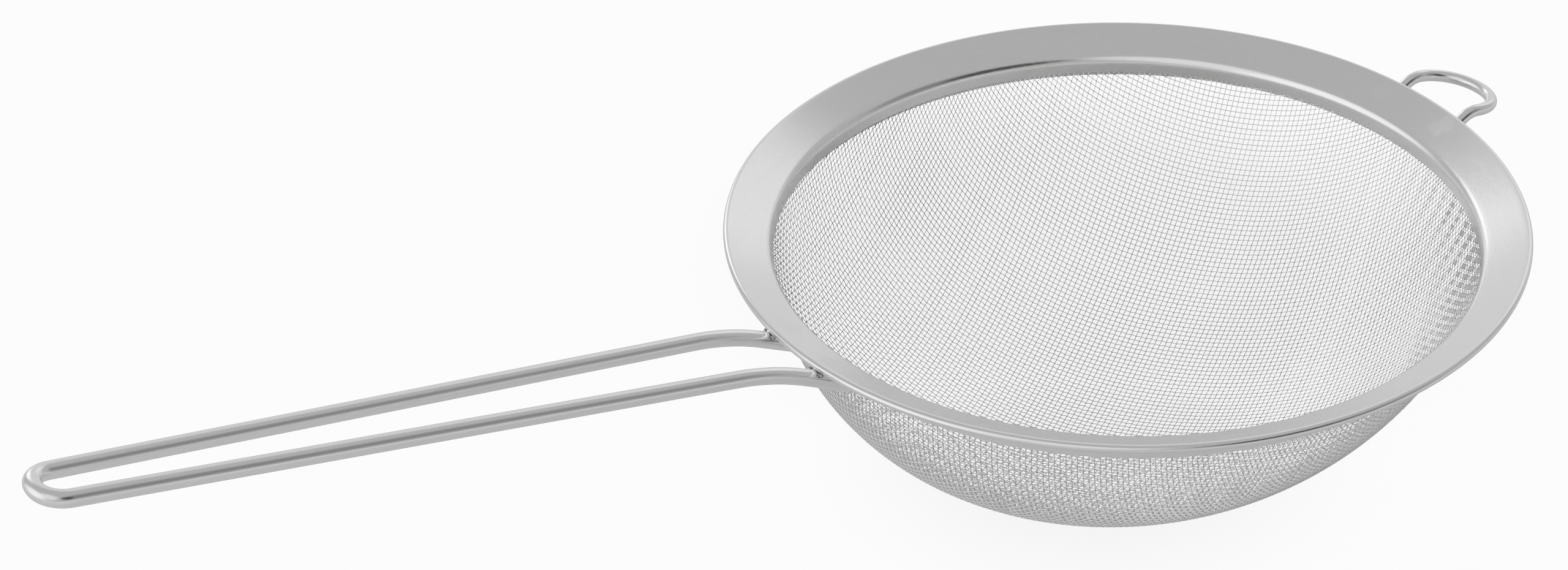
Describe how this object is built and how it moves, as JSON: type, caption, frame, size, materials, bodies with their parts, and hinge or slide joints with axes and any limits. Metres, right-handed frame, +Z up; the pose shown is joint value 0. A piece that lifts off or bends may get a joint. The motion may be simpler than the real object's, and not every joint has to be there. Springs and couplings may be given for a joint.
{
  "type": "strainer",
  "caption": "Round steel strainer: a sloped rim with a rolled edge, a woven wire bowl, a long bent-wire loop handle and a small wire rest hook opposite it.",
  "frame": {"origin": "on the rim's axis, in the plane that the underside of the rolled edge rests on", "axes": "+Z up along the rim's axis, out of the bowl's mouth; the handle points to -X and the rest hook to +X; the object is symmetric about the XZ plane"},
  "size_m": [0.4085, 0.2, 0.1056],
  "materials": {
    "rim_sheet": "satin",
    "ring_strip": "satin",
    "wire_cloth": "satin",
    "handle_wire": "polished",
    "hook_wire": "polished",
    "weld_metal": "satin"
  },
  "bodies": {
    "root": {"rim": "rim_sheet", "mesh_ring": "ring_strip", "mesh_bowl": "wire_cloth", "handle": "handle_wire", "rest_hook": "hook_wire", "handle_welds": "weld_metal", "hook_welds": "weld_metal", "ring_spot_welds": "weld_metal"}
  },
  "joints": []
}
